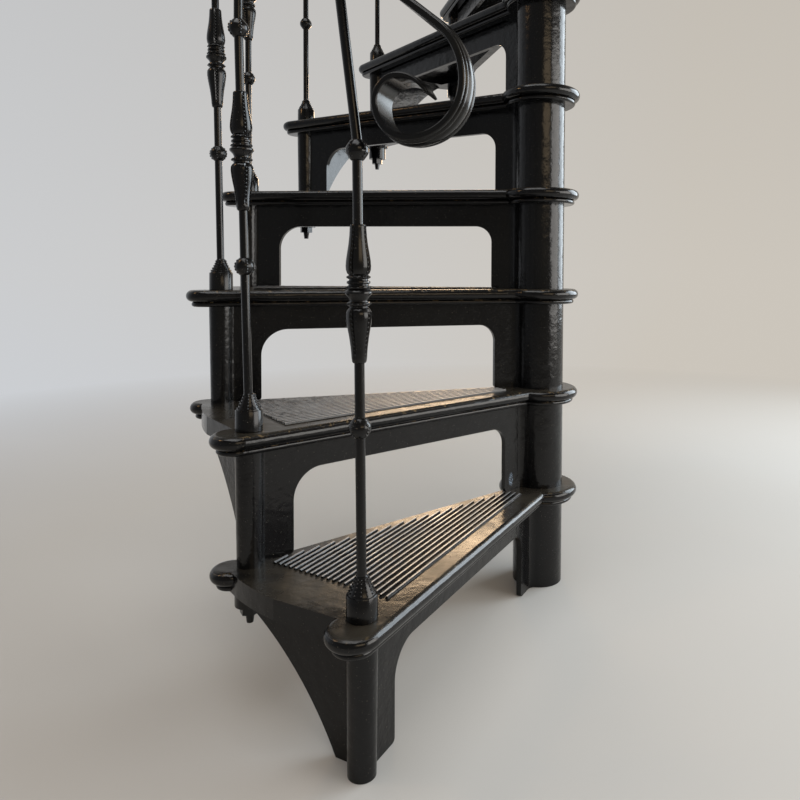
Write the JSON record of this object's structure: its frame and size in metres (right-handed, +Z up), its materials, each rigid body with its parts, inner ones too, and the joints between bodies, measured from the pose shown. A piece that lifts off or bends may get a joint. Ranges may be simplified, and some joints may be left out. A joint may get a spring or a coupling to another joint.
{
  "type": "spiral staircase",
  "caption": "Cast-iron spiral stair climbing clockwise round a hollow column, with ribbed wedge treads, arched risers, ornamental balusters and a scrolled handrail.",
  "frame": {"origin": "centre of the column's foot, on the floor", "axes": "+Z up along the column; the first riser lies along azimuth 250 degrees and the flight climbs clockwise seen from above"},
  "size_m": [1.3471, 1.3102, 3.4458],
  "materials": {
    "black_enamel": "gloss black enamel paint over cast iron",
    "black_enamel_tread": "worn gloss black enamel, dusty between the ribs",
    "rail_enamel": "gloss black enamel over a moulded iron bar"
  },
  "bodies": {
    "root": {"tread_01": "black_enamel_tread", "riser_01": "black_enamel", "baluster_01": "black_enamel", "tread_02": "black_enamel_tread", "riser_02": "black_enamel", "baluster_02": "black_enamel", "tread_03": "black_enamel_tread", "riser_03": "black_enamel", "baluster_03": "black_enamel", "tread_04": "black_enamel_tread", "riser_04": "black_enamel", "baluster_04": "black_enamel", "tread_05": "black_enamel_tread", "riser_05": "black_enamel", "baluster_05": "black_enamel", "tread_06": "black_enamel_tread", "riser_06": "black_enamel", "baluster_06": "black_enamel", "tread_07": "black_enamel_tread", "riser_07": "black_enamel", "baluster_07": "black_enamel", "tread_08": "black_enamel_tread", "riser_08": "black_enamel", "baluster_08": "black_enamel", "tread_09": "black_enamel_tread", "riser_09": "black_enamel", "baluster_09": "black_enamel", "tread_10": "black_enamel_tread", "riser_10": "black_enamel", "baluster_10": "black_enamel", "tread_11": "black_enamel_tread", "riser_11": "black_enamel", "baluster_11": "black_enamel", "tread_12": "black_enamel_tread", "riser_12": "black_enamel", "baluster_12": "black_enamel", "tread_13": "black_enamel_tread", "riser_13": "black_enamel", "baluster_13": "black_enamel", "column_sleeves": "black_enamel", "tread_nuts": "black_enamel", "handrail_lower": "rail_enamel", "handrail_middle": "rail_enamel", "handrail_upper": "rail_enamel", "handrail_scroll": "rail_enamel", "column_cap": "black_enamel"}
  },
  "joints": []
}
